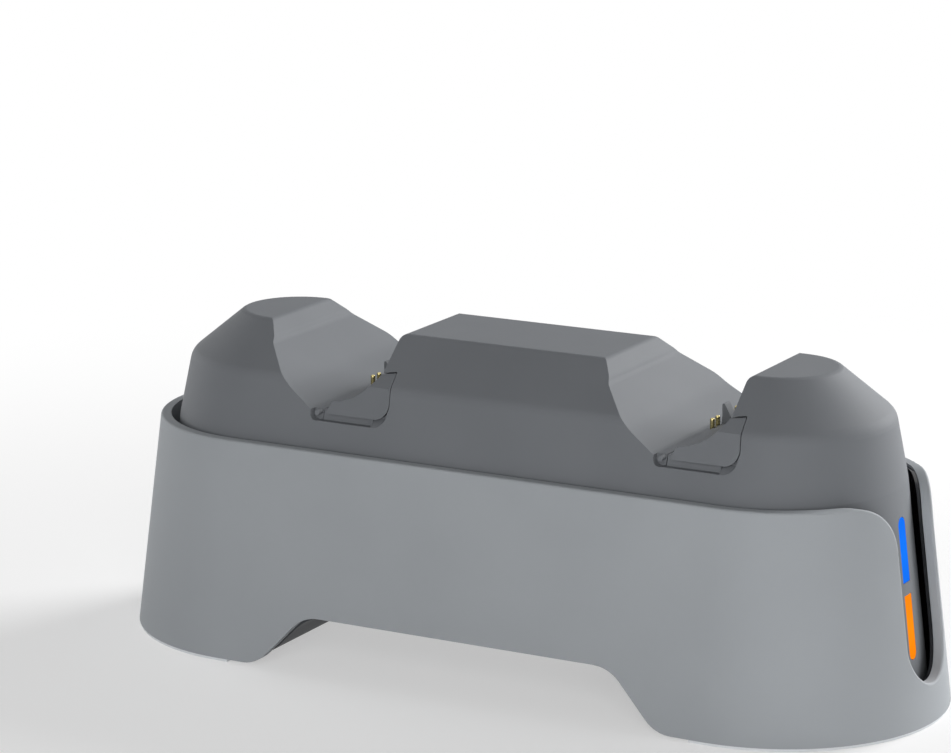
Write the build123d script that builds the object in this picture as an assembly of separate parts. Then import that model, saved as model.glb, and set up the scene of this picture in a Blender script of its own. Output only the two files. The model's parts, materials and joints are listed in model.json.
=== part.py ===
from build123d import *
import os
from math import radians, tan

# Controller charging dock in millimetres: +X is the lit end, +Z is up, the origin is under the middle.

# Outer skirt
dock_length = 179.7
dock_width = 70.0
skirt_height = 45.55
skirt_draft = 7.0
skirt_wall = 2.1
skirt_edge_round = 0.5
ledge_width = 3.0
ledge_thickness = 2.2
foot_length = 44.65
foot_round = 7.5
arch_ramp = 10.65
arch_height = 11.95
arch_knee_radius = 8.0
notch_width = 17.8
notch_bottom = 7.95
notch_corner_radius = 9.5
notch_reach = 30.0

# Top shell
body_height = 67.55
chamfer_drop = 9.0
chamfer_side_run = 10.7
chamfer_end_run = 11.0
crease_side_setback = 4.45
crease_end_setback = 2.4
rim_depth = 6.5
seam_gap = 0.9
seam_end_gap = 2.1
apron_reach = 22.0
shell_wall = 2.4
top_edge_round = 1.6
crease_round = 4.0

# Bays, from the lip of each bay along X and down from the top
front_hump_length = 13.55
rear_hump_length = 12.17
bay_length = 30.8
lip_run = 2.4
lip_drop = 2.9
lip_round = 1.6
step_run = 0.5
step_drop = 1.1
step_round = 2.4
slope_run = 7.95
slope_drop = 6.95
slope_round = 20.0
floor_run = 5.65
floor_round = 1.8
bay_depth = 14.7
wall_round = 1.2

# Contact cradles
cradle_start = 20.2
riser_run = 0.9
riser_rise = 1.95
ramp_rise = 5.85
ramp_sag = 1.7
cheek_rise = 0.4
cheek_drop = 0.55
cheek_length = 14.3
cheek_lean = 0.9
cheek_corner_radius = 3.0
cheek_thickness = 1.2
cheek_sink = 0.25
cheek_groove = 1.5
sole_length = 1.1
eye_setback = 2.05
eye_radius = 1.55
eye_core_radius = 0.5
recess_depth = 1.6
key_width = 2.4
key_length = 2.6
key_height = 6.6
key_round = 0.3
stem_length = 8.6
stem_width = 23.0
fit_gap = 0.3
weld = 0.1

# Spring contacts
pin_offset = 0.45
pin_rows = (-5.8, -3.3, 3.3, 5.8)
pin_diameter = 0.95
pin_proud = 3.8
collar_diameter = 1.2
collar_height = 0.8
barrel_lip = 0.4
barrel_mouth = 1.15
barrel_bore = 1.4
barrel_diameter = 1.7
barrel_rise = 1.0
solder_tail = 0.8
bore_gap = 0.05

# Boards, lamps and leads
board_thickness = 1.6
contact_board_margin = 2.2
main_board_length = 28.5
board_boss_gap = 1.3
main_board_setback = 10.25
board_corner_radius = 3.0
standoff_height = 3.0
standoff_diameter = 6.0
standoff_inset = 4.0
chip_setback = 10.2
chip_y = 6.0
chip_height = 1.0
charger_length = 6.0
switch_length = 4.0
choke_setback = 4.7
choke_length = 4.5
choke_width = 5.0
choke_height = 3.0
choke_y = 7.5
capacitor_setback = 18.2
capacitor_inset = 5.0
capacitor_height = 5.4
capacitor_diameter = 5.0
led_board_width = 13.0
led_board_height = 38.0
led_size = 3.0
led_thickness = 0.8
led_rib = 1.5
led_rib_height = 5.0
bar_width = 3.1
bar_length = 12.7
bar_gap = 2.7
bar_bottom = 11.85
bar_clearance = 0.15
lead_width = 4.4
lead_pitch = 5.0
lead_thickness = 0.6
lead_bend = 4.0
lead_lift = 0.6
socket_length = 4.0
socket_height = 3.0

# Power inlet
usb_width = 8.94
usb_height = 3.26
usb_length = 9.2
usb_metal = 0.3
usb_recess = 3.05
tongue_width = 6.7
tongue_thickness = 0.7
tongue_length = 5.0
inlet_clearance = 1.9

# Base, pads and fasteners
pad_thickness = 0.6
pad_inset = 0.3
pad_setback = 7.0
plate_thickness = 2.0
plate_rise = 0.1
plate_bend = 14.0
liner_thickness = 0.6
liner_gap = 0.15
liner_reach = 22.0
screw_diameter = 2.9
screw_head_diameter = 5.6
screw_head_height = 2.0
screw_grip = 8.0
screw_clearance = 0.15
boss_diameter = 7.4
boss_seat = 1.8
skirt_boss_height = 14.0
web_thickness = 2.0
base_screw_inset = 8.0
base_screw_y = 15.0
foot_screw_inset = 28.0
foot_screw_margin = 13.0
small_screw_diameter = 1.9
small_head_diameter = 3.6
small_head_height = 1.3
small_grip = 2.6

half_length = dock_length / 2
half_width = dock_width / 2
lean = tan(radians(skirt_draft))
rim_z = skirt_height - rim_depth
plate_top = pad_thickness + plate_thickness
arch_plate_low = arch_height + plate_rise
arch_plate_top = arch_plate_low + plate_thickness
arch_half_span = half_length - foot_length
arch_half_flat = arch_half_span - arch_ramp
arch_run_per_rise = arch_ramp / (arch_height - pad_thickness)
seam_inset = skirt_wall + (skirt_height - pad_thickness) * lean
seam_half_width = half_width - seam_inset - seam_gap
seam_half_length = half_length - seam_inset - seam_end_gap
crease_z = body_height - chamfer_drop
crease_half_width = seam_half_width - crease_side_setback
side_run_per_rise = crease_side_setback / (crease_z - skirt_height)
crease_half_length = seam_half_length - crease_end_setback
top_half_width = crease_half_width - chamfer_side_run
top_half_length = crease_half_length - chamfer_end_run
front_lip = top_half_length - front_hump_length - bay_length
rear_lip = rear_hump_length - top_half_length
floor_z = body_height - bay_depth
pocket_z = floor_z - cheek_drop - cheek_groove
board_top_z = pocket_z - shell_wall - weld
led_front_x = seam_half_length - shell_wall - fit_gap
led_board_x = led_front_x - led_thickness - board_thickness
main_board_z = plate_top + standoff_height
main_top_z = main_board_z + board_thickness
main_board_x = main_board_setback - half_length
main_board_width = 2 * (half_width - foot_screw_margin - board_boss_gap) - boss_diameter
usb_x = usb_recess - half_length
past = 2.0


# Box between two X and two Z limits, centred on y
def block(x_low, x_high, width, z_low, z_high, y=0):
    centre = Pos((x_low + x_high) / 2, y, (z_low + z_high) / 2)
    return centre * Box(x_high - x_low, width, z_high - z_low)


# Block that reaches past the dock in Y
def slab(x_low, x_high, z_low, z_high):
    return block(x_low, x_high, dock_width + 2 * past, z_low, z_high)


# Upright cylinder between two heights
def post(x, y, z_low, z_high, diameter):
    return Pos(x, y, (z_low + z_high) / 2) * Cylinder(diameter / 2, z_high - z_low)


# XZ face carried through the whole width
def through(face):
    return extrude(Plane.XZ * face, half_width + past, both=True)


# Corner of a flat face that lies nearest to a point
def corner(face, x, y):
    return face.vertices().sort_by_distance((x, y))[0]


# Screw whose head bears on seat_z; way is 1 when the shank points up
def screw(x, y, seat_z, way, grip, diameter, head_diameter, head_height):
    head = sorted((seat_z - way * head_height, seat_z))
    shank = sorted((seat_z - way * weld, seat_z + way * grip))
    return post(x, y, *head, head_diameter) + post(x, y, *shank, diameter)


# Plan of the dock at the foot of the skirt, moved inwards
def dock_plan(inset):
    return SlotOverall(dock_length - 2 * inset, dock_width - 2 * inset)


# Leaning solid that follows the outside of the dock between two heights
def dock_form(inset, z_low, z_high):
    plans = [Pos(0, 0, z) * dock_plan(inset + (z - pad_thickness) * lean) for z in (z_low, z_high)]
    return loft(plans, ruled=True)


def body_plan(z, reach_x, reach_y):
    return Pos(0, 0, z) * SlotOverall(2 * reach_x, 2 * reach_y)


# Plan of the upper body at or below the seam with the skirt
def seam_plan(z, inset):
    spread = (skirt_height - z) * lean - inset
    return body_plan(z, seam_half_length + spread, seam_half_width + spread)


# Upper body before the bays are cut, its faces moved inwards
def body_form(inset, z_low=rim_z):
    crease = (crease_z - inset / 2, crease_half_length - inset, crease_half_width - inset)
    top = (body_height - inset, top_half_length - inset / 2, top_half_width - inset / 2)
    plans = [seam_plan(z_low, inset), seam_plan(skirt_height, inset), body_plan(*crease), body_plan(*top)]
    return loft(plans, ruled=True)


# End wall of the upper body, from the base plate up into the shell
def apron_form(inset, z_low, z_high):
    wall = loft([seam_plan(z, inset) for z in (z_low, z_high)], ruled=True)
    return wall & slab(half_length - apron_reach, half_length + past, 0, body_height)


# Side view of all that lies below the skirt: the floor line under both feet and the arch between them
def arch_face():
    reach = half_length + past
    half = [(reach, -past), (reach, pad_thickness), (arch_half_span, pad_thickness), (arch_half_flat, arch_height)]
    face = make_face(Polyline(*half, *[(-x, z) for x, z in reversed(half)], close=True))
    for side in (-1, 1):
        face = fillet(corner(face, side * arch_half_flat, arch_height), arch_knee_radius)
        face = fillet(corner(face, side * arch_half_span, pad_thickness), foot_round)
    return face


# U-shaped notch in the lit end, flared into the top edge of the skirt
def notch_cut(grow):
    half = notch_width / 2 + grow
    flare_y = half + notch_corner_radius
    flare_z = skirt_height - notch_corner_radius
    round_z = notch_bottom - grow + half
    above = skirt_height + past
    edges = [
        CenterArc((0, round_z), half, 180, 180),
        Line((half, round_z), (half, flare_z)),
        CenterArc((flare_y, flare_z), notch_corner_radius, 90, 90),
        Polyline((flare_y, skirt_height), (flare_y, above), (-flare_y, above), (-flare_y, skirt_height)),
        CenterArc((-flare_y, flare_z), notch_corner_radius, 0, 90),
        Line((-half, flare_z), (-half, round_z)),
    ]
    start = half_length - notch_reach
    return extrude(Plane.YZ.offset(start) * make_face(edges), notch_reach + past)


def usb_outline(grow):
    height = usb_height + 2 * grow
    outline = RectangleRounded(usb_width + 2 * grow, height, height / 2 - weld)
    return Pos(0, main_top_z + usb_height / 2) * outline


def inlet_cut():
    face = Plane.YZ.offset(-half_length - past) * usb_outline(inlet_clearance)
    return extrude(face, 2 * past + 2 * skirt_wall)


def foot_screws():
    x = half_length - foot_screw_inset
    y = half_width - foot_screw_margin
    return [(side_x * x, side_y * y) for side_x in (-1, 1) for side_y in (-1, 1)]


def base_screws_at():
    front_x = front_lip - base_screw_inset
    rear_x = rear_lip + bay_length + base_screw_inset
    return [(x, side * base_screw_y) for x in (rear_x, front_x) for side in (-1, 1)]


# Column inside the skirt that takes a screw from below, webbed to the side wall
def skirt_boss(x, y):
    low = plate_top + boss_seat
    high = low + skirt_boss_height
    web = block(x - web_thickness / 2, x + web_thickness / 2, foot_screw_margin, low, high)
    side = 1 if y > 0 else -1
    boss = post(x, y, low, high, boss_diameter) + Pos(0, y + side * foot_screw_margin / 2, 0) * web
    return boss & dock_form(skirt_wall - weld, 0, skirt_height)


# Outside of the skirt with its notch, the upper outer edge rounded all the way round
def skirt_outside():
    outside = dock_form(0, 0, skirt_height) - notch_cut(0)
    core = dock_form(weld, 0, skirt_height + past)
    rim = []
    for edge in outside.edges():
        lowest = min(vertex.Z for vertex in edge.vertices())
        if lowest > pad_thickness + weld and not core.is_inside(edge @ 0.5):
            rim.append(edge)
    return fillet(rim, skirt_edge_round)


def outer_skirt():
    skirt = skirt_outside() - dock_form(skirt_wall, -past, skirt_height + past)
    skirt -= through(arch_face())
    skirt -= inlet_cut()
    ledge = dock_form(skirt_wall - weld, rim_z - ledge_thickness, rim_z)
    ledge -= dock_form(skirt_wall + ledge_width, 0, skirt_height)
    skirt += ledge & slab(-half_length, half_length - notch_reach, 0, skirt_height)
    for x, y in foot_screws():
        low = plate_top + boss_seat
        skirt += skirt_boss(x, y)
        skirt -= post(x, y, low, low + screw_grip, screw_diameter + 2 * screw_clearance)
    return skirt


# Side view of a bay, cut from above; sharp corners
def bay_outline(lip):
    wall = lip + bay_length
    edge = stem_start(lip) - fit_gap
    slope_x = lip + lip_run + step_run
    slope_z = body_height - lip_drop - step_drop
    floor_x = slope_x + slope_run
    above = body_height + past
    points = [
        (lip - past, body_height),
        (lip, body_height),
        (lip + lip_run, body_height - lip_drop),
        (slope_x, slope_z),
        (floor_x, slope_z - slope_drop),
        (floor_x + floor_run, floor_z),
        (edge, floor_z),
        (edge, pocket_z),
        (wall, pocket_z),
        (wall, body_height),
        (wall + past, body_height),
        (wall + past, above),
        (lip - past, above),
    ]
    return points


def bay_face(lip):
    points = bay_outline(lip)
    face = make_face(Polyline(*points, close=True))
    rounds = [lip_round, step_round, step_round, slope_round, floor_round]
    for point, radius in zip(points[1:], rounds):
        face = fillet(corner(face, *point), radius)
    return fillet(corner(face, lip + bay_length, body_height), wall_round)


def bay_clearance(lip):
    sharp = make_face(Polyline(*bay_outline(lip), close=True))
    return through(offset(sharp, shell_wall, kind=Kind.INTERSECTION))


# Curved top of a cradle from its tip to the end wall of the bay
def cradle_top(lip):
    tip_x = lip + cradle_start
    riser_x = tip_x + riser_run
    end_x = lip + bay_length - fit_gap
    riser_z = floor_z + riser_rise
    middle = ((riser_x + end_x) / 2, riser_z + ramp_rise / 2 - ramp_sag)
    ramp = ThreePointArc((riser_x, riser_z), middle, (end_x, riser_z + ramp_rise))
    return [Line((tip_x, floor_z), (riser_x, riser_z)), ramp]


def cradle_face(lip):
    tip_x = lip + cradle_start
    sole_x = stem_start(lip)
    end_x = lip + bay_length - fit_gap
    end_z = floor_z + riser_rise + ramp_rise
    below = Polyline((end_x, end_z), (end_x, pocket_z), (sole_x, pocket_z), (sole_x, floor_z), (tip_x, floor_z))
    return make_face(cradle_top(lip) + [below])


# Side cheek of a cradle, seen from the side
def cheek_face(lip):
    tip_x = lip + cradle_start
    end_x = lip + bay_length - fit_gap
    end_z = floor_z + riser_rise + ramp_rise
    heel_x = tip_x + cheek_length
    low = floor_z - cheek_drop
    head = (heel_x - cheek_lean, end_z + cheek_rise)
    rest = Polyline((end_x, end_z), head, (heel_x, low), (tip_x, low), (tip_x, floor_z))
    face = make_face(cradle_top(lip) + [rest])
    return fillet(corner(face, heel_x, low), cheek_corner_radius)


# Half width of the upper body's side wall between the seam and the crease
def wall_y(z):
    return seam_half_width - (z - skirt_height) * side_run_per_rise


# Section above a recess: its bottom slants from the foot of the cheek out to the wall
def recess_section():
    low = floor_z - cheek_drop
    inner_y = wall_y(low) - recess_depth
    outer_y = wall_y(pocket_z)
    far_y = outer_y + past
    half = [(inner_y, low), (outer_y, pocket_z), (far_y, pocket_z), (far_y, body_height)]
    return make_face(Polyline(*half, *[(-y, z) for y, z in reversed(half)], close=True))


# Recess round a cheek, widest below it, and a round eye beside its tip
def recess_cut(lip):
    cheek = cheek_face(lip)
    groove = through(offset(cheek, fit_gap) + Pos(0, -cheek_groove) * cheek)
    groove &= extrude(Plane.YZ * recess_section(), half_length, both=True)
    ring = Circle(eye_radius) - Circle(eye_core_radius)
    eye = through(Pos(lip + cradle_start - eye_setback, floor_z - cheek_drop) * ring)
    return groove + eye - body_form(recess_depth)


# Front of a cradle's sole, and of the stem below it
def stem_start(lip):
    return lip + cradle_start - sole_length


def pins_at(lip):
    return [(lip + cradle_start + pin_offset, y) for y in pin_rows]


def contact_screws_at(lip):
    x = stem_start(lip) + stem_length - small_head_diameter / 2
    return [(x, side * (stem_width - small_head_diameter) / 2) for side in (-1, 1)]


# Insert at the bottom of a bay: ramp, cheeks, locating key and a stem for the contacts
def cradle(lip):
    tip_x = lip + cradle_start
    depth = cheek_sink + cheek_thickness
    body = through(cradle_face(lip)) & body_form(depth - weld)
    body += through(cheek_face(lip)) & (body_form(cheek_sink) - body_form(depth))
    stem_x = stem_start(lip)
    body += block(stem_x, stem_x + stem_length, stem_width, board_top_z, pocket_z + weld)
    key_x = tip_x + pin_offset
    key_end = key_x + key_length
    key_z = floor_z + key_height
    points = [(key_x, pocket_z), (key_x, key_z), (key_end, floor_z + riser_rise), (key_end, pocket_z)]
    key = make_face(Polyline(*points, close=True))
    key = fillet(corner(key, key_x, key_z), key_round)
    body += extrude(Plane.XZ * key, key_width / 2, both=True)
    for x, y in pins_at(lip):
        body -= post(x, y, 0, body_height, barrel_diameter + 2 * bore_gap)
    for x, y in contact_screws_at(lip):
        body -= post(x, y, 0, board_top_z + small_grip, small_screw_diameter + 2 * bore_gap)
    return body


def contact_board(lip):
    low_x = stem_start(lip) - contact_board_margin
    high_x = stem_start(lip) + stem_length + contact_board_margin
    low_z = board_top_z - board_thickness
    board = block(low_x, high_x, stem_width + 2 * contact_board_margin, low_z, board_top_z)
    for x, y in pins_at(lip):
        board -= post(x, y, 0, body_height, barrel_diameter + 2 * bore_gap)
    for x, y in contact_screws_at(lip):
        board -= post(x, y, 0, body_height, small_screw_diameter + 2 * bore_gap)
    return board


def barrel(x, y):
    high = floor_z + barrel_rise
    low = board_top_z - board_thickness - solder_tail
    tube = post(x, y, low, high, barrel_diameter)
    tube -= post(x, y, low + solder_tail, high - barrel_lip, barrel_bore)
    return tube - post(x, y, low + solder_tail, high + past, barrel_mouth)


# Plunger of one spring contact, held in its barrel by a collar under the lip
def plunger(x, y):
    collar_z = floor_z + barrel_rise - barrel_lip - bore_gap
    tip = floor_z + pin_proud
    rod = post(x, y, collar_z - collar_height, tip, pin_diameter)
    rod = fillet(rod.edges().group_by(Axis.Z)[-1], pin_diameter / 2 - weld)
    return rod + post(x, y, collar_z - collar_height, collar_z, collar_diameter)


def bar_outline(index, grow):
    low = bar_bottom + index * (bar_length + bar_gap) - grow
    high = bar_bottom + index * (bar_length + bar_gap) + bar_length + grow
    half = bar_width / 2 + grow
    bar = Pos(0, (low + high) / 2) * Rectangle(2 * half, high - low)
    round_z = low if index == 0 else high
    ends = [corner(bar, side * half, round_z) for side in (-1, 1)]
    return fillet(ends, half - weld)


def bar_cut(index, grow, start):
    return extrude(Plane.YZ.offset(start) * bar_outline(index, grow), half_length)


def light_bar(index):
    return bar_cut(index, 0, led_front_x + fit_gap) & apron_form(0, plate_top, skirt_height)


def top_shell():
    outside = body_form(0)
    levels = outside.edges().group_by(Axis.Z)
    outside = fillet(levels[-1], top_edge_round)
    crease = outside.edges().filter_by(lambda edge: abs(edge.center().Z - crease_z) < weld)
    outside = fillet(crease, crease_round)
    hollow = body_form(shell_wall, rim_z - past)
    for lip in (rear_lip, front_lip):
        outside -= through(bay_face(lip))
        outside -= recess_cut(lip)
        hollow -= bay_clearance(lip)
    shell = outside - hollow
    for lip in (rear_lip, front_lip):
        window_x = stem_start(lip) - fit_gap
        window = (window_x, window_x + stem_length + 2 * fit_gap, stem_width + 2 * fit_gap)
        shell -= block(*window, pocket_z - shell_wall - past, pocket_z + weld)
    low = plate_top + fit_gap
    shell += apron_form(0, low, rim_z + weld) - apron_form(shell_wall, 0, rim_z + past)
    for index in (0, 1):
        shell -= bar_cut(index, bar_clearance, led_front_x)
    for x, y in base_screws_at():
        seat = arch_plate_top + boss_seat
        boss = post(x, y, seat, body_height, boss_diameter) & body_form(shell_wall / 2, 0)
        shell += boss
        shell -= post(x, y, seat, seat + screw_grip, screw_diameter + 2 * screw_clearance)
    return shell


# Centre line of the base plate: flat feet, ramps and the flat under the arch
def plate_line():
    low = pad_thickness + plate_thickness / 2
    high = arch_plate_low + plate_thickness / 2
    knee = arch_half_flat + (high - low) * arch_run_per_rise
    points = [(-half_length, low), (-knee, low), (-arch_half_flat, high)]
    points += [(-x, z) for x, z in reversed(points)]
    return FilletPolyline(*points, radius=plate_bend)


def standoffs_at():
    low_x = main_board_x + standoff_inset
    high_x = main_board_x + main_board_length - standoff_inset
    y = main_board_width / 2 - standoff_inset
    return [(x, side * y) for x in (low_x, high_x) for side in (-1, 1)]


# Rib on the base plate that holds the foot of the lamp board
def led_rib_at(x_low):
    return block(x_low, x_low + led_rib, led_board_width, plate_top - weld, plate_top + led_rib_height)


def base_plate():
    plate = through(trace(plate_line(), plate_thickness)) & dock_form(skirt_wall + fit_gap, 0, skirt_height)
    for x, y in standoffs_at():
        plate += post(x, y, plate_top - weld, main_board_z, standoff_diameter)
        hole = small_screw_diameter + 2 * screw_clearance
        plate -= post(x, y, main_board_z - small_grip, main_board_z + past, hole)
    plate += led_rib_at(led_board_x - bore_gap - led_rib)
    plate += led_rib_at(led_board_x + board_thickness + bore_gap)
    seats = [(x, y, pad_thickness) for x, y in foot_screws()]
    seats += [(x, y, arch_plate_low) for x, y in base_screws_at()]
    for x, y, low in seats:
        high = low + plate_thickness + boss_seat
        plate += post(x, y, low, high, boss_diameter + 2 * plate_thickness)
        plate -= post(x, y, low - past, low + screw_head_height, screw_head_diameter + 2 * fit_gap)
        plate -= post(x, y, low, high + past, screw_diameter + 2 * screw_clearance)
    return plate


def plate_screws(places, low):
    seat = low + screw_head_height
    grip = plate_thickness + boss_seat - screw_head_height + screw_grip - fit_gap
    size = (screw_diameter, screw_head_diameter, screw_head_height)
    return [screw(x, y, seat, 1, grip, *size) for x, y in places]


def foot_pad(side):
    pad = dock_form(pad_inset, 0, pad_thickness)
    start = arch_half_span + pad_setback
    limits = sorted((side * start, side * (half_length + past)))
    return pad & slab(*limits, 0, pad_thickness)


# Gloss lining inside the skirt on both sides of the notch
def end_liner():
    outside = skirt_wall + liner_gap
    low = plate_top + fit_gap
    high = skirt_height - skirt_edge_round
    liner = dock_form(outside, low, high) - dock_form(outside + liner_thickness, 0, skirt_height)
    liner &= slab(half_length - liner_reach, half_length, 0, skirt_height)
    return liner - notch_cut(fit_gap)


def main_board():
    plan = RectangleRounded(main_board_length, main_board_width, board_corner_radius)
    board = Pos(main_board_x + main_board_length / 2, 0, main_board_z) * extrude(plan, board_thickness)
    for x, y in standoffs_at():
        board -= post(x, y, 0, body_height, small_screw_diameter + 2 * screw_clearance)
    return board


def small_screws(places, seat_z, way):
    grip = board_thickness + small_grip - fit_gap
    size = (small_screw_diameter, small_head_diameter, small_head_height)
    return [screw(x, y, seat_z, way, grip, *size) for x, y in places]


def usb_shell():
    ring = usb_outline(0) - usb_outline(-usb_metal)
    return extrude(Plane.YZ.offset(usb_x) * ring, usb_length)


def usb_tongue():
    back_x = usb_x + tongue_length
    middle_z = main_top_z + usb_height / 2
    back = extrude(Plane.YZ.offset(back_x) * usb_outline(-usb_metal), usb_length - tongue_length)
    low = middle_z - tongue_thickness / 2
    return back + block(usb_x + usb_metal, back_x + weld, tongue_width, low, low + tongue_thickness)


def led_board():
    high = plate_top + led_board_height
    return block(led_board_x, led_board_x + board_thickness, led_board_width, plate_top, high)


def status_leds():
    lamps = []
    for index in (0, 1):
        low = bar_bottom + index * (bar_length + bar_gap) + (bar_length - led_size) / 2
        lamps.append(block(led_front_x - led_thickness, led_front_x, led_size, low, low + led_size))
    return lamps


# One chip of the charging circuit, on the main board behind the inlet
def chip(setback, length, width, height, y):
    low_x = main_board_x + setback
    return block(low_x, low_x + length, width, main_top_z, main_top_z + height, y)


# Charger, switch, capacitor and two chokes
def board_chips():
    charger = chip(chip_setback, charger_length, charger_length, chip_height, -chip_y)
    switch = chip(chip_setback, switch_length, switch_length, chip_height, chip_y)
    chokes = [chip(choke_setback, choke_length, choke_width, choke_height, side * choke_y) for side in (-1, 1)]
    x = main_board_x + capacitor_setback
    y = main_board_width / 2 - capacitor_inset
    capacitor = post(x, y, main_top_z, main_top_z + capacitor_height, capacitor_diameter)
    return [charger, switch, capacitor] + chokes


# Sockets for the flat leads: one row on the main board, one under each contact board, one behind the lamps
def board_sockets():
    sockets = []
    far_x = main_board_x + main_board_length
    for index in (-1, 0, 1):
        limits = (main_top_z, main_top_z + socket_height, index * lead_pitch)
        sockets.append(block(far_x - socket_length, far_x, lead_width, *limits))
    high = board_top_z - board_thickness
    for lip, index in ((rear_lip, 1), (front_lip, -1)):
        low_x = contact_socket_x(lip) - socket_length / 2
        limits = (high - socket_height, high, index * lead_pitch)
        sockets.append(block(low_x, low_x + socket_length, lead_width, *limits))
    low = plate_top + led_rib_height + fit_gap
    sockets.append(block(led_board_x - socket_height, led_board_x, lead_width, low, low + socket_length))
    return sockets


def contact_socket_x(lip):
    return stem_start(lip) + stem_length / 2 + socket_length / 2


def flat_lead(points, index):
    line = FilletPolyline(*points, radius=lead_bend)
    ribbon = extrude(Plane.XZ * trace(line, lead_thickness), lead_width / 2, both=True)
    return Pos(0, index * lead_pitch, 0) * ribbon


def main_socket_end():
    return (main_board_x + main_board_length, main_top_z + socket_height / 2)


# Points over the arch, from the lit end towards the main board
def arch_run():
    high = arch_plate_top + lead_lift
    return [(arch_half_flat, high), (-arch_half_flat, high)]


def contact_lead(lip, index):
    x = contact_socket_x(lip)
    start = (x, board_top_z - board_thickness - socket_height)
    end = main_socket_end()
    turn = (end[0] + 2 * lead_bend, end[1])
    over = arch_run() if lip > 0 else [(x, arch_plate_top + 2 * lead_bend)]
    drop = [(x, over[0][1] + 3 * lead_bend)] if lip > 0 else []
    return flat_lead([start] + drop + over + [turn, end], index)


def led_lead():
    low = plate_top + led_rib_height + fit_gap + socket_length / 2
    start = (led_board_x - socket_height, low)
    end = main_socket_end()
    level = (arch_half_span + lead_bend, low)
    turn = (end[0] + 2 * lead_bend, end[1])
    return flat_lead([start, level] + arch_run() + [turn, end], 0)


def build_nodes():
    nodes = {
        "outer_skirt": outer_skirt(),
        "top_shell": top_shell(),
        "base_plate": base_plate(),
        "end_liner": end_liner(),
        "light_bar_lower": light_bar(0),
        "light_bar_upper": light_bar(1),
        "main_board": main_board(),
        "board_chips": board_chips(),
        "board_sockets": board_sockets(),
        "usb_shell": usb_shell(),
        "usb_tongue": usb_tongue(),
        "led_board": led_board(),
        "status_leds": status_leds(),
        "lead_led": led_lead(),
        "skirt_screws": plate_screws(foot_screws(), pad_thickness),
        "base_screws": plate_screws(base_screws_at(), arch_plate_low),
        "board_screws": small_screws(standoffs_at(), main_top_z, -1),
    }
    for name, lip, side in (("rear", rear_lip, -1), ("front", front_lip, 1)):
        seat = board_top_z - board_thickness
        nodes["foot_pad_" + name] = foot_pad(side)
        nodes["cradle_" + name] = cradle(lip)
        nodes["contact_board_" + name] = contact_board(lip)
        nodes["contact_screws_" + name] = small_screws(contact_screws_at(lip), seat, 1)
        nodes["contact_barrels_" + name] = [barrel(x, y) for x, y in pins_at(lip)]
        nodes["lead_" + name] = contact_lead(lip, -side)
        for count, (x, y) in enumerate(pins_at(lip), start=1):
            nodes[f"plunger_{name}_{count}"] = plunger(x, y)
    return nodes


os.makedirs("parts", exist_ok=True)
for node, shape in build_nodes().items():
    solids = shape if isinstance(shape, list) else [shape]
    export_step(Compound(children=solids) if len(solids) > 1 else solids[0], f"parts/{node}.step")
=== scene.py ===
import bpy
import json
from math import radians
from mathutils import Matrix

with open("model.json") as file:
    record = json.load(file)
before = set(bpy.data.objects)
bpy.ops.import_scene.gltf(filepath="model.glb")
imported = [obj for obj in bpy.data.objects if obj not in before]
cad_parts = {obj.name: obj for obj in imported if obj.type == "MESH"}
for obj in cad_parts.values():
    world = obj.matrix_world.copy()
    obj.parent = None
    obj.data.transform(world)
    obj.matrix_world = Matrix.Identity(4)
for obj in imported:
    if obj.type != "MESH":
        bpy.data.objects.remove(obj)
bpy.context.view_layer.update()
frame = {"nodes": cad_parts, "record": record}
nodes = frame["nodes"]
scene = bpy.context.scene
print("frame loaded:", len(nodes), "nodes")


# sRGB hex to the linear colour that sockets take
def hexToLinear(text):
    parts = [int(text[i:i + 2], 16) / 255 for i in (1, 3, 5)]
    linear = [c / 12.92 if c <= 0.04045 else ((c + 0.055) / 1.055) ** 2.4 for c in parts]
    return (*linear, 1.0)


# the nodes are modelled in metres
def fromMm(size):
    return size / 1000.0


# texture scale for a pattern whose marks are this many mm across
def perMm(size):
    return 1000.0 / size


# one node with its settings, fixed input values and links
def addNode(tree, kind, inputs=None, links=None, **settings):
    node = tree.nodes.new(kind)
    for name, value in settings.items():
        setattr(node, name, value)
    for socket, value in (inputs or {}).items():
        node.inputs[socket].default_value = value
    for socket, source in (links or {}).items():
        tree.links.new(source, node.inputs[socket])
    return node


# material with a shader, its tree and object-space coordinates
def startMaterial(name, inputs):
    material = bpy.data.materials.new(name)
    material.use_nodes = True
    tree = material.node_tree
    tree.nodes.clear()
    shader = addNode(tree, "ShaderNodeBsdfPrincipled", inputs)
    addNode(tree, "ShaderNodeOutputMaterial", links={"Surface": shader.outputs["BSDF"]})
    place = addNode(tree, "ShaderNodeTexCoord").outputs["Object"]
    return material, tree, shader, place


# ABS, injection moulded in a spark-eroded tool: soft satin, with a faint cloudiness and a fine even grain
# real grain is about 0.1 mm; drawn coarser so that it shows at all
skirtLook = {
    "deep": "#9ea2a6", "pale": "#a2a6aa", "roughness": 0.65, "roughSpread": 0.05, "specular": 0.14,
    "cloudMm": 26.0, "cloudLow": 0.3, "cloudHigh": 0.7, "grainMm": 0.45, "grainDepthMm": 0.04, "bump": 0.12,
}
bodyLook = {**skirtLook, "deep": "#717478", "pale": "#75787c", "cloudMm": 22.0}
cradleLook = {
    **bodyLook, "deep": "#707377", "pale": "#74777b", "roughness": 0.63, "cloudMm": 12.0, "grainMm": 0.4,
}
# the base is left matt and coarser, since it faces the floor
baseLook = {
    **skirtLook, "deep": "#3d3f42", "pale": "#434548", "roughness": 0.62, "specular": 0.4,
    "cloudMm": 18.0, "grainMm": 0.6, "bump": 0.3,
}


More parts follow.
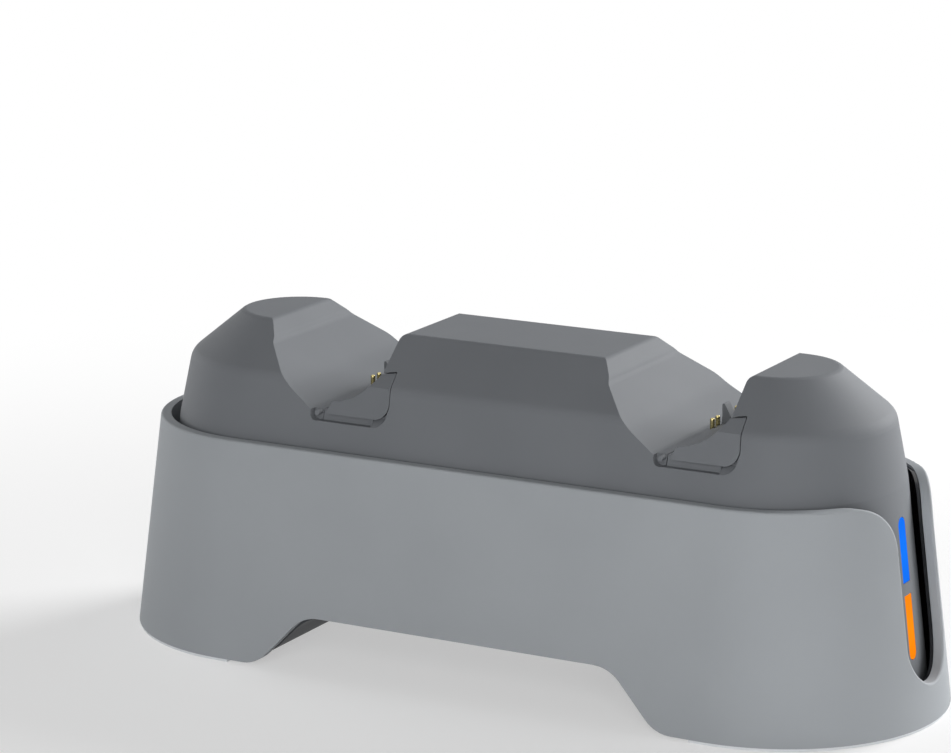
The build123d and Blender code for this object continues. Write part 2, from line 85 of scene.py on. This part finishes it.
def absMoulded(name, look):
    material, tree, shader, place = startMaterial(name, {"IOR": 1.54, "Specular IOR Level": look["specular"]})
    cloud = addNode(
        tree, "ShaderNodeTexNoise", {"Scale": perMm(look["cloudMm"]), "Detail": 2.0, "Roughness": 0.45},
        {"Vector": place})
    tone = addNode(tree, "ShaderNodeValToRGB", links={"Fac": cloud.outputs["Fac"]})
    low, high = tone.color_ramp.elements
    low.position = look["cloudLow"]
    low.color = hexToLinear(look["deep"])
    high.position = look["cloudHigh"]
    high.color = hexToLinear(look["pale"])
    grain = addNode(
        tree, "ShaderNodeTexNoise", {"Scale": perMm(look["grainMm"]), "Detail": 3.0, "Roughness": 0.6},
        {"Vector": place})
    sheen = addNode(
        tree, "ShaderNodeMapRange",
        {"To Min": look["roughness"] - look["roughSpread"],
         "To Max": look["roughness"] + look["roughSpread"]},
        {"Value": grain.outputs["Fac"]})
    bump = addNode(
        tree, "ShaderNodeBump", {"Strength": look["bump"], "Distance": fromMm(look["grainDepthMm"])},
        {"Height": grain.outputs["Fac"]})
    tree.links.new(tone.outputs["Color"], shader.inputs["Base Color"])
    tree.links.new(sheen.outputs["Result"], shader.inputs["Roughness"])
    tree.links.new(bump.outputs["Normal"], shader.inputs["Normal"])
    return material


skirtAbs = absMoulded("absMouldedSatinLightGrey", skirtLook)
bodyAbs = absMoulded("absMouldedSatinMidGrey", bodyLook)
cradleAbs = absMoulded("absMouldedSatinCradleGrey", cradleLook)
baseAbs = absMoulded("absMouldedMattDarkGrey", baseLook)
print("moulded plastics made")


# two tones that drift into each other, with an unevenness to match
def driftingSkin(name, inputs, look):
    material, tree, shader, place = startMaterial(name, {**inputs, "Roughness": look["roughness"]})
    drift = addNode(
        tree, "ShaderNodeTexNoise", {"Scale": perMm(look["driftMm"]), "Detail": look["detail"]},
        {"Vector": place})
    tone = addNode(tree, "ShaderNodeValToRGB", links={"Fac": drift.outputs["Fac"]})
    tone.color_ramp.elements[0].color = hexToLinear(look["deep"])
    tone.color_ramp.elements[1].color = hexToLinear(look["pale"])
    bump = addNode(
        tree, "ShaderNodeBump", {"Strength": look["bump"], "Distance": fromMm(look["depthMm"])},
        {"Height": drift.outputs["Fac"]})
    tree.links.new(tone.outputs["Color"], shader.inputs["Base Color"])
    tree.links.new(bump.outputs["Normal"], shader.inputs["Normal"])
    return material


# polycarbonate, moulded in a polished tool: black gloss with a slow waviness that bends reflections
linerLook = {
    "deep": "#1c1d20", "pale": "#26272b", "roughness": 0.2,
    "driftMm": 9.0, "detail": 1.0, "bump": 0.15, "depthMm": 0.2,
}
linerGloss = driftingSkin(
    "polycarbonateMouldedGlossBlack", {"IOR": 1.585, "Coat Weight": 0.3, "Coat Roughness": 0.05}, linerLook)

# silicone sheet, die cut: soft, with no shine and a slight grain; its pale colour is partly the pad's own and
# partly a painted highlight, standing in for the floor's light on the bottom rim
padRimHighlightLook = {
    "deep": "#dcdfe2", "pale": "#e6e9ec", "roughness": 0.75,
    "driftMm": 0.8, "detail": 3.0, "bump": 0.35, "depthMm": 0.1,
}
padSiliconeRimHighlight = driftingSkin("siliconeDieCutPaintedRimHighlight", {"IOR": 1.41, "Specular IOR Level": 0.3}, padRimHighlightLook)
print("gloss liner and pads made")


# acrylic, moulded as a lens and lit from behind: even strong colour, a little brighter over its lamp
orangeLook = {
    "body": "#5a2c00", "bright": "#ff9000", "edge": "#ff8600", "glow": 0.93, "lampMm": 18.2, "spreadMm": 7.0,
}
blueLook = {
    "body": "#02265a", "bright": "#0078ff", "edge": "#006ff6", "glow": 0.9, "lampMm": 33.6, "spreadMm": 7.0,
}


def acrylicLit(name, look):
    material, tree, shader, place = startMaterial(name, {
        "IOR": 1.49, "Roughness": 0.45, "Specular IOR Level": 0.01,
        "Base Color": hexToLinear(look["body"]), "Emission Strength": look["glow"]})
    height = addNode(tree, "ShaderNodeSeparateXYZ", links={"Vector": place}).outputs["Z"]
    above = addNode(tree, "ShaderNodeMath", {1: fromMm(look["lampMm"])}, {0: height}, operation="SUBTRACT")
    distance = addNode(tree, "ShaderNodeMath", links={0: above.outputs[0]}, operation="ABSOLUTE")
    spread = addNode(
        tree, "ShaderNodeMapRange", {"From Max": fromMm(look["spreadMm"])}, {"Value": distance.outputs[0]},
        interpolation_type="SMOOTHSTEP")
    tone = addNode(tree, "ShaderNodeValToRGB", links={"Fac": spread.outputs["Result"]})
    tone.color_ramp.elements[0].color = hexToLinear(look["bright"])
    tone.color_ramp.elements[1].color = hexToLinear(look["edge"])
    tree.links.new(tone.outputs["Color"], shader.inputs["Emission Color"])
    return material


orangeLens = acrylicLit("acrylicMouldedLitOrange", orangeLook)
blueLens = acrylicLit("acrylicMouldedLitBlue", blueLook)
print("lit lenses made")


# metal, turned, drawn or rolled and then plated: a bright skin with fine lines that follow the tool
# stretch draws the lines out along the axes with the small values
goldLook = {
    "deep": "#ab9c62", "pale": "#dccf9a", "roughness": 0.26, "roughSpread": 0.06,
    "lineMm": 0.3, "stretch": (0.2, 0.2, 1.0), "bump": 0.1, "lineDepthMm": 0.03,
}
inletLook = {**goldLook, "deep": "#a9abad", "pale": "#c6c8ca", "roughness": 0.28, "stretch": (0.1, 1.0, 1.0)}
screwLook = {
    **goldLook, "deep": "#8d8f92", "pale": "#b0b2b4", "roughness": 0.36,
    "lineMm": 0.4, "stretch": (1.0, 1.0, 0.2),
}


def platedMetal(name, look):
    material, tree, shader, place = startMaterial(name, {"Metallic": 1.0})
    along = addNode(tree, "ShaderNodeMapping", {"Scale": look["stretch"]}, {"Vector": place})
    lines = addNode(
        tree, "ShaderNodeTexNoise", {"Scale": perMm(look["lineMm"]), "Detail": 2.0},
        {"Vector": along.outputs["Vector"]})
    tone = addNode(tree, "ShaderNodeValToRGB", links={"Fac": lines.outputs["Fac"]})
    tone.color_ramp.elements[0].color = hexToLinear(look["deep"])
    tone.color_ramp.elements[1].color = hexToLinear(look["pale"])
    gloss = addNode(
        tree, "ShaderNodeMapRange",
        {"To Min": look["roughness"] - look["roughSpread"],
         "To Max": look["roughness"] + look["roughSpread"]},
        {"Value": lines.outputs["Fac"]})
    bump = addNode(
        tree, "ShaderNodeBump", {"Strength": look["bump"], "Distance": fromMm(look["lineDepthMm"])},
        {"Height": lines.outputs["Fac"]})
    tree.links.new(tone.outputs["Color"], shader.inputs["Base Color"])
    tree.links.new(gloss.outputs["Result"], shader.inputs["Roughness"])
    tree.links.new(bump.outputs["Normal"], shader.inputs["Normal"])
    return material


goldPlate = platedMetal("brassTurnedGoldPlated", goldLook)
inletSteel = platedMetal("steelDrawnNickelPlated", inletLook)
screwSteel = platedMetal("steelRolledZincPlated", screwLook)
print("metals made")


# glass-filled epoxy board, printed: green lacquer over copper tracks that show as a fine grid of paler lines
boardLook = {
    "lacquer": "#0f4a2a", "track": "#1d6b40", "roughness": 0.35,
    "cellMm": 5.08, "trackShare": 0.03, "bump": 0.2, "trackHeightMm": 0.03,
}


def epoxyBoard(look):
    material, tree, shader, place = startMaterial(
        "epoxyGlassPrintedGreen", {"IOR": 1.55, "Roughness": look["roughness"]})
    lacquer = hexToLinear(look["lacquer"])
    tracks = addNode(
        tree, "ShaderNodeTexBrick",
        {"Scale": perMm(look["cellMm"]), "Color1": lacquer, "Color2": lacquer,
         "Mortar": hexToLinear(look["track"]), "Mortar Size": look["trackShare"]},
        {"Vector": place}, offset=0.5)
    bump = addNode(
        tree, "ShaderNodeBump", {"Strength": look["bump"], "Distance": fromMm(look["trackHeightMm"])},
        {"Height": tracks.outputs["Fac"]})
    tree.links.new(tracks.outputs["Color"], shader.inputs["Base Color"])
    tree.links.new(bump.outputs["Normal"], shader.inputs["Normal"])
    return material


epoxyGreen = epoxyBoard(boardLook)

# epoxy, moulded round a chip: dull black with a fine mottle
chipLook = {
    "deep": "#131315", "pale": "#1d1d1f", "roughness": 0.5,
    "driftMm": 0.5, "detail": 3.0, "bump": 0.15, "depthMm": 0.04,
}
# nylon, moulded: waxy ivory
socketLook = {**chipLook, "deep": "#d8d4c8", "pale": "#e2dfd4", "roughness": 0.45, "driftMm": 1.5}
# polyester film, laminated over flat wires: smooth white
leadLook = {**chipLook, "deep": "#d4d3ce", "pale": "#dddcd8", "roughness": 0.4, "driftMm": 3.0}
# epoxy, cast over a lamp: shiny pale yellow
lampLook = {**chipLook, "deep": "#efe9c4", "pale": "#f6f1d6", "roughness": 0.2, "driftMm": 1.0}
chipEpoxy = driftingSkin("epoxyMouldedBlack", {"IOR": 1.5}, chipLook)
socketNylon = driftingSkin("nylonMouldedIvory", {"IOR": 1.5}, socketLook)
leadFilm = driftingSkin("polyesterLaminatedWhite", {"IOR": 1.5}, leadLook)
lampResin = driftingSkin("epoxyCastClearYellow", {"IOR": 1.5}, lampLook)
print("board materials made")


# which finish each slot of the record takes
finishes = {
    "skirt_plastic": skirtAbs,
    "body_plastic": bodyAbs,
    "cradle_plastic": cradleAbs,
    "base_plastic": baseAbs,
    "liner_plastic": linerGloss,
    "orange_lens": orangeLens,
    "blue_lens": blueLens,
    "pad_rubber": padSiliconeRimHighlight,
    "contact_gold": goldPlate,
    "inlet_steel": inletSteel,
    "screw_steel": screwSteel,
    "board_laminate": epoxyGreen,
    "chip_resin": chipEpoxy,
    "socket_plastic": socketNylon,
    "lead_film": leadFilm,
    "lamp_resin": lampResin,
}
for part in frame["record"]["subparts"]:
    mesh = nodes[part["node"]].data
    mesh.materials.clear()
    mesh.materials.append(finishes[part["material_slot"]])
print("finishes on", len(nodes), "nodes")


# 1 for a ray from the camera, or one that a shiny or clear surface sends on
def seenRay(tree):
    path = addNode(tree, "ShaderNodeLightPath").outputs
    shiny = addNode(
        tree, "ShaderNodeMath", links={0: path["Is Glossy Ray"], 1: path["Is Transmission Ray"]},
        operation="MAXIMUM")
    seen = addNode(
        tree, "ShaderNodeMath", links={0: path["Is Camera Ray"], 1: shiny.outputs[0]}, operation="MAXIMUM")
    return seen.outputs[0]


# painted board, matt white: takes the shadow near the dock and runs out into plain white further off
# whiteNear is how much of the plain white shows close to the dock
# the fade runs out from its middle, in metres
floorLook = {
    "colour": "#ffffff", "roughness": 0.9, "size": 8.0, "whiteNear": 0.45, "fadeStart": 0.12, "fadeEnd": 0.34,
    "gapMm": 0.05,
}


def makeFloor(look):
    half = look["size"] / 2
    mesh = bpy.data.meshes.new("floor")
    corners = [(-half, -half, 0), (half, -half, 0), (half, half, 0), (-half, half, 0)]
    mesh.from_pydata(corners, [], [(0, 1, 2, 3)])
    floor = bpy.data.objects.new("floor", mesh)
    scene.collection.objects.link(floor)
    # a hair under the pads, so that the two flat faces don't flicker into each other
    floor.location.z = -fromMm(look["gapMm"])
    material, tree, shader, place = startMaterial("boardPaintedMattWhite", {
        "Base Color": hexToLinear(look["colour"]), "Roughness": look["roughness"], "Specular IOR Level": 0.0})
    reach = addNode(tree, "ShaderNodeVectorMath", links={0: place}, operation="LENGTH").outputs["Value"]
    fade = addNode(
        tree, "ShaderNodeMapRange",
        {"From Min": look["fadeStart"], "From Max": look["fadeEnd"], "To Min": look["whiteNear"]},
        {"Value": reach}, interpolation_type="SMOOTHSTEP")
    share = addNode(
        tree, "ShaderNodeMath", links={0: seenRay(tree), 1: fade.outputs["Result"]}, operation="MULTIPLY")
    white = addNode(tree, "ShaderNodeEmission", {"Color": hexToLinear("#ffffff"), "Strength": 1.0})
    mix = addNode(tree, "ShaderNodeMixShader", links={
        0: share.outputs[0], 1: shader.outputs["BSDF"], 2: white.outputs["Emission"]})
    tree.links.new(mix.outputs[0], tree.nodes["Material Output"].inputs["Surface"])
    mesh.materials.append(material)


# plain white to look at, and a weak even light on the dock
worldLook = {"colour": "#ffffff", "strength": 0.12}


def makeWorld(look):
    world = bpy.data.worlds.new("studioWhite")
    scene.world = world
    world.use_nodes = True
    tree = world.node_tree
    tree.nodes.clear()
    soft = addNode(
        tree, "ShaderNodeBackground", {"Color": hexToLinear(look["colour"]), "Strength": look["strength"]})
    seen = addNode(tree, "ShaderNodeBackground", {"Color": hexToLinear("#ffffff"), "Strength": 1.0})
    pick = addNode(
        tree, "ShaderNodeMixShader", links={0: seenRay(tree), 1: soft.outputs[0], 2: seen.outputs[0]})
    addNode(tree, "ShaderNodeOutputWorld", links={"Surface": pick.outputs[0]})


# round softboxes aimed at the dock: places and sizes in metres, power in watts
softboxes = {
    "key": {"place": (0.42, 0.78, 0.42), "size": 0.6, "power": 12.0},  # behind, over the lit end
    "fill": {"place": (0.38, -0.93, 0.31), "size": 0.8, "power": 6.1},  # in front, beside the camera
    "side": {"place": (-0.95, 0.15, 0.25), "size": 0.6, "power": 3.0},  # for the end with the power inlet
}
softboxAim = (0.0, 0.0, 0.03)


def makeSoftbox(name, look):
    light = bpy.data.lights.new(name, "AREA")
    light.shape = "DISK"
    light.size = look["size"]
    light.energy = look["power"]
    lamp = bpy.data.objects.new(name, light)
    scene.collection.objects.link(lamp)
    lamp.location = look["place"]
    aim = bpy.data.objects.new(name + "Aim", None)
    scene.collection.objects.link(aim)
    aim.location = softboxAim
    track = lamp.constraints.new("TRACK_TO")
    track.target = aim
    track.track_axis = "TRACK_NEGATIVE_Z"
    track.up_axis = "UP_Y"


makeFloor(floorLook)
makeWorld(worldLook)
for name, look in softboxes.items():
    makeSoftbox(name, look)
print("studio lit")


# camera at the photograph's angle: place in metres, angles in degrees, lens and sensor in mm
shot = {
    "place": (0.3222, -0.6174, 0.22415), "turn": 28.5, "down": 13.35,
    "lens": 133.4, "sensor": 36.0, "clipStart": 0.01,
}
camera = bpy.data.cameras.new("camera")
camera.sensor_width = shot["sensor"]
camera.lens = shot["lens"]
camera.clip_start = shot["clipStart"]
cameraObject = bpy.data.objects.new("camera", camera)
cameraObject.location = shot["place"]
cameraObject.rotation_euler = (radians(90 - shot["down"]), 0, radians(shot["turn"]))
scene.collection.objects.link(cameraObject)
scene.camera = cameraObject
scene.view_settings.view_transform = "Standard"
print("camera set")
